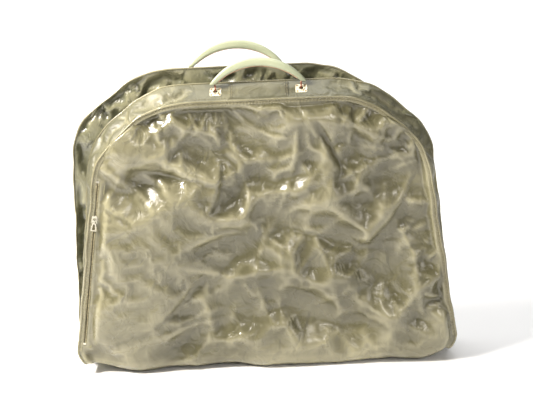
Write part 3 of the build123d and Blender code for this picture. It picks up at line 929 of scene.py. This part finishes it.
def fold_ends():
    """The two ends of the fold, between the outer skin and the crease."""
    count, deep = 30, 13
    outer_half = fold_section(OUTER_Y, FLOOR_GAP, FOLD_TOP, FOLD_RADIUS, count)
    inner_half = fold_section(RIDGE_Y, CREASE_BOTTOM, FOLD_TOP, CREASE_RADIUS, count)
    outer, inner = (
        np.vstack([line[::-1] * (-1, 1), line[1:]]) for line in (outer_half, inner_half)
    )
    share = np.linspace(0, 1, deep)[:, None, None]
    section = outer[None] * (1 - share) + inner[None] * share
    foot = seam_line("front", 0, 3)[0][0]
    ridge_foot = seam_line("front", 1, 3)[0][0]
    level = smooth(1 - section[..., 1] / FOLD_TOP)
    out = (foot * (1 - share[..., 0]) + ridge_foot * share[..., 0]) * (1 - level) - FLOOR_HALF * level
    tuck = 10 * MM * np.sin(math.pi * share[..., 0]) * (0.6 + 0.4 * np.sin(section[..., 0] * 260))
    for name, sign in (("fold_end_left", 1), ("fold_end_right", -1)):
        grid = np.empty((*section.shape[:2], 3))
        grid[..., 0] = sign * (out + tuck)
        grid[..., 1] = section[..., 0]
        grid[..., 2] = section[..., 1]
        rest_on_floor(grid)
        piece = grid_piece(name, grid, GUSSET_VINYL)
        blend_over_fold(piece)
        cord = fold_edge_piping(name.replace("end", "piping"), grid[0])
        blend_over_fold(cord)


# ---- seams ----

def inward_of(line):
    """The direction into the panel at each point of a seam, in the panel's plane."""
    tangent = unit(np.gradient(line, axis=0))
    inward = np.stack([tangent[:, 2], np.zeros(len(line)), -tangent[:, 0]], axis=1)
    return unit(inward)


def seam_pieces(half):
    """Pipings, the puckered hem inside the outer one, and the thread."""
    out = SIGN[half]
    random = np.random.default_rng(SEED + 10 + (half == "back"))
    count = 900
    outer = seam_line(half, 0, count)
    ridge = seam_line(half, 1, count)
    lumps = 1 + 0.06 * np.convolve(random.normal(size=count + 8), np.ones(9) / 3, mode="valid")
    for name, line, radius in (("outer", outer, PIPING_OUTER), ("inner", ridge, PIPING_INNER)):
        tube = tube_piece(f"{half}_{name}_piping_cord", line, radius * lumps, PIPING_VINYL)
        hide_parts(f"{half}_{name}_piping")
        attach(tube, f"{half}_half")
    inward = inward_of(outer)
    share = np.linspace(0, 1, 9)[:, None, None]
    hem = outer[None] + inward[None] * (PIPING_OUTER * 0.5 + HEM_WIDTH * share)
    along = np.linspace(0, 1, count) * np.linalg.norm(np.diff(outer, axis=0), axis=1).sum()
    pucker = 0.5 + 0.5 * np.sin(2 * math.pi * along / STITCH_PITCH + 2 * np.sin(along * 40))
    strength = 0.35 + 0.65 * smooth(0.5 + 0.5 * np.sin(along * 11 + 1))
    rise = 0.9 * MM * np.sin(math.pi * share[..., 0]) * pucker * strength
    hem[..., 1] += out * (0.35 * MM + rise)
    hem[-1, :, 1] -= out * 0.5 * MM
    strip = grid_piece(f"{half}_hem", hem, PIPING_VINYL)
    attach(strip, f"{half}_half")
    rows = [outer + inward * (PIPING_OUTER * 0.5 + HEM_WIDTH * 0.3) + (0, out * 1.0 * MM, 0)]
    gusset_row = outer * 0.86 + ridge * 0.14
    rows.append(gusset_row + (0, 0, 0.5 * MM))
    thread = stitch_piece(f"{half}_seam_thread", rows, THREAD)
    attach(thread, f"{half}_half")


def patch_piece(half):
    """The reinforcement between the plates, with a double row of stitches at each end."""
    name = f"{half}_end_patch"
    low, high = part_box(name)
    slope = Vector((0, high[1] - low[1], high[2] - low[2]))
    if half == "back":
        slope.y = -slope.y
    slope.normalize()
    out = Vector((0, -slope.z, slope.y)) if half == "front" else Vector((0, slope.z, -slope.y))
    if out.z < 0:
        out = -out
    centre = (Vector(low) + Vector(high)) / 2
    half_wide = (high[0] - low[0]) / 2
    half_deep = math.hypot(high[1] - low[1], high[2] - low[2]) / 2 - 0.5 * MM
    across = np.linspace(-1, 1, 61)
    up = np.linspace(-1, 1, 25)
    grid = np.empty((25, 61, 3))
    for row, v in enumerate(up):
        for col, u in enumerate(across):
            edge = (1 - abs(u) ** 12) * (1 - abs(v) ** 12)
            ripple = 0.5 * MM * math.sin(7 * u + 2 * v) * math.cos(3 * v)
            lift = (1.6 * MM + ripple * (1 - u * u)) * edge
            spot = centre + Vector((u * half_wide, 0, 0)) + slope * v * half_deep + out * lift
            grid[row, col] = spot
    patch = grid_piece(f"{name}_cloth", grid, GUSSET_VINYL)
    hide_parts(name)
    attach(patch, f"{half}_half")
    lines = []
    for side in (-1, 1):
        for inset in (3 * MM, 6 * MM):
            x = side * (half_wide - inset)
            ends = [
                centre + Vector((x, 0, 0)) + slope * v * half_deep * 0.9 + out * 2.0 * MM for v in (-1, 1)
            ]
            lines.append(resample(np.array([tuple(end) for end in ends]), 60))
    thread = stitch_piece(f"{half}_patch_thread", lines, THREAD, pitch=3.2 * MM, thread=0.5 * MM)
    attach(thread, f"{half}_half")


# ---- handles ----

def arc_through(span_half, foot, top, count, past):
    """An arc in (x, z) over the top, from a little past the left foot to as far past the right one."""
    rise = top - foot
    radius = (span_half**2 + rise**2) / (2 * rise)
    reach = math.asin(min(1, span_half / radius)) + past / radius
    turn = np.linspace(-reach, reach, count)
    return np.stack([radius * np.sin(turn), top - radius + radius * np.cos(turn)], axis=1)


def handle_pieces(half):
    low, high = (np.array(corner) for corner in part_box(f"{half}_handle_wrap"))
    inner_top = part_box(f"{half}_handle_binding")[1][2]
    centre_x = (low[0] + high[0]) / 2
    y = (low[1] + high[1]) / 2
    depth = (high[1] - low[1]) / 2
    foot, top = low[2], high[2]
    count, sides = 90, 32
    outer_half = (high[0] - low[0]) / 2
    inner_half = outer_half - 9 * MM
    past_feet = 3 * MM
    outer = arc_through(outer_half, foot, top, count, past_feet)
    inner = arc_through(inner_half, foot, inner_top, count, past_feet)
    middle = (outer + inner) / 2
    across = (outer - inner) / 2 * 1.06
    share = np.linspace(-1, 1, count)
    deep = depth * (0.8 + 0.2 * (1 - share**2) ** 0.5)
    cap = np.sqrt(np.clip(1 - np.clip((np.abs(share) - 0.965) / 0.035, 0, 1) ** 2, 0.03, 1))
    turn = np.linspace(0, 2 * math.pi, sides, endpoint=False)
    wide = np.sign(np.cos(turn)) * np.abs(np.cos(turn)) ** 0.6
    thick = np.sign(np.sin(turn)) * np.abs(np.sin(turn)) ** 0.6
    ridge = 1 + 0.13 * np.exp(-((wide + 0.3) / 0.1) ** 2)
    rings = np.empty((count, sides, 3))
    rings[..., 0] = centre_x + middle[:, :1] + across[:, :1] * wide * cap[:, None]
    rings[..., 1] = y + deep[:, None] * thick * 0.93 * ridge * cap[:, None]
    rings[..., 2] = middle[:, 1:] + across[:, 1:] * wide * cap[:, None]
    faces = tube_faces(count, sides)
    wrap = add_mesh(f"{half}_handle_cover", rings.reshape(-1, 3), faces, HANDLE_VINYL)
    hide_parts(f"{half}_handle_wrap")
    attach(wrap, f"{half}_handle")
    short, band_sides = 5, 12
    keep = slice(short, count - short)
    band_count = count - 2 * short
    edge = np.stack([centre_x + inner[keep, 0], np.full(band_count, y), inner[keep, 1]], axis=1)
    band = tube_rings(edge, 1.0 * MM, band_sides)
    band[..., 1] = y + (band[..., 1] - y) * (deep[keep] * 0.55 / MM)[:, None]
    faces = tube_faces(band_count, band_sides)
    binding = add_mesh(f"{half}_handle_edge", band.reshape(-1, 3), faces, BINDING)
    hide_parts(f"{half}_handle_binding")
    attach(binding, f"{half}_handle")


# ---- studio ----

def add_camera():
    elevation, roll, distance = math.radians(16), math.radians(2.5), 1.9
    forward = Vector((0, math.cos(elevation), -math.sin(elevation)))
    level_up = Vector((0, math.sin(elevation), math.cos(elevation)))
    level_right = Vector((1, 0, 0))
    right = level_right * math.cos(roll) - level_up * math.sin(roll)
    up = level_right * math.sin(roll) + level_up * math.cos(roll)
    target = Vector((9.1, -42, 284)) * MM
    turn = Matrix((right, up, -forward)).transposed().to_4x4()
    data = bpy.data.cameras.new("camera")
    data.lens = 82.1
    camera = bpy.data.objects.new("camera", data)
    camera.matrix_world = Matrix.Translation(target - forward * distance) @ turn
    bpy.context.scene.collection.objects.link(camera)
    bpy.context.scene.camera = camera


def add_stage():
    """A pale floor that sweeps up into a backdrop."""
    material, tree, shader = new_material("studio_paper", specular=0.1)
    grain = noise(tree, object_place(tree), 3)
    colour_and_roughness(tree, shader, grain, [(0.3, (0.86,) * 3), (0.7, (0.88,) * 3)], grain, (0.85, 0.95))
    turn = np.linspace(0, math.pi / 2, 24)
    radius, behind, wide = 1.2, 1.6, 6.0
    curve = np.stack([behind + radius * np.sin(turn), radius * (1 - np.cos(turn))], axis=1)
    profile = np.vstack([[(-5, 0)], curve, [(behind + radius, 6)]])
    grid = np.empty((len(profile), 2, 3))
    for column, x in enumerate((-wide, wide)):
        grid[:, column, 0] = x
        grid[:, column, 1:] = profile
    grid_piece("studio_sweep", grid, material)


def add_light(name, place, size, power, target=(0, 0, 0.25), colour=(1, 0.94, 0.87)):
    data = bpy.data.lights.new(name, "AREA")
    data.color = colour
    data.shape = "RECTANGLE"
    data.size, data.size_y = size
    data.energy = power
    light = bpy.data.objects.new(name, data)
    light.location = place
    light.rotation_euler = (Vector(target) - Vector(place)).to_track_quat("-Z", "Y").to_euler()
    bpy.context.scene.collection.objects.link(light)


def add_lights():
    world = bpy.data.worlds.new("studio")
    world.use_nodes = True
    background = world.node_tree.nodes["Background"]
    background.inputs["Color"].default_value = (0.90, 0.95, 1.0, 1)
    background.inputs["Strength"].default_value = 0.11
    bpy.context.scene.world = world
    bpy.context.scene.view_settings.view_transform = "Standard"
    add_light("key", (-1.15, -0.5, 1.35), (0.6, 0.45), 80)
    add_light("lamp", (0.3, -1.9, 1.1), (0.3, 0.3), 8)
    add_light("window", (1.3, -1.2, 0.7), (0.25, 1.0), 6)
    add_light("backdrop", (0, 0.7, 3.0), (3.0, 1.6), 92, target=(0, 2.2, 0.3), colour=(1, 1, 1))


# ---- the whole model ----


add_camera()
add_stage()
add_lights()
finish_cad_nodes()
outer_piece = outer_skin()
inner_piece = inner_skin()
gusset_pieces = [gusset_skin(half) for half in SIGN]
fold_ends()
for half_name in SIGN:
    seam_pieces(half_name)
    patch_piece(half_name)
    handle_pieces(half_name)
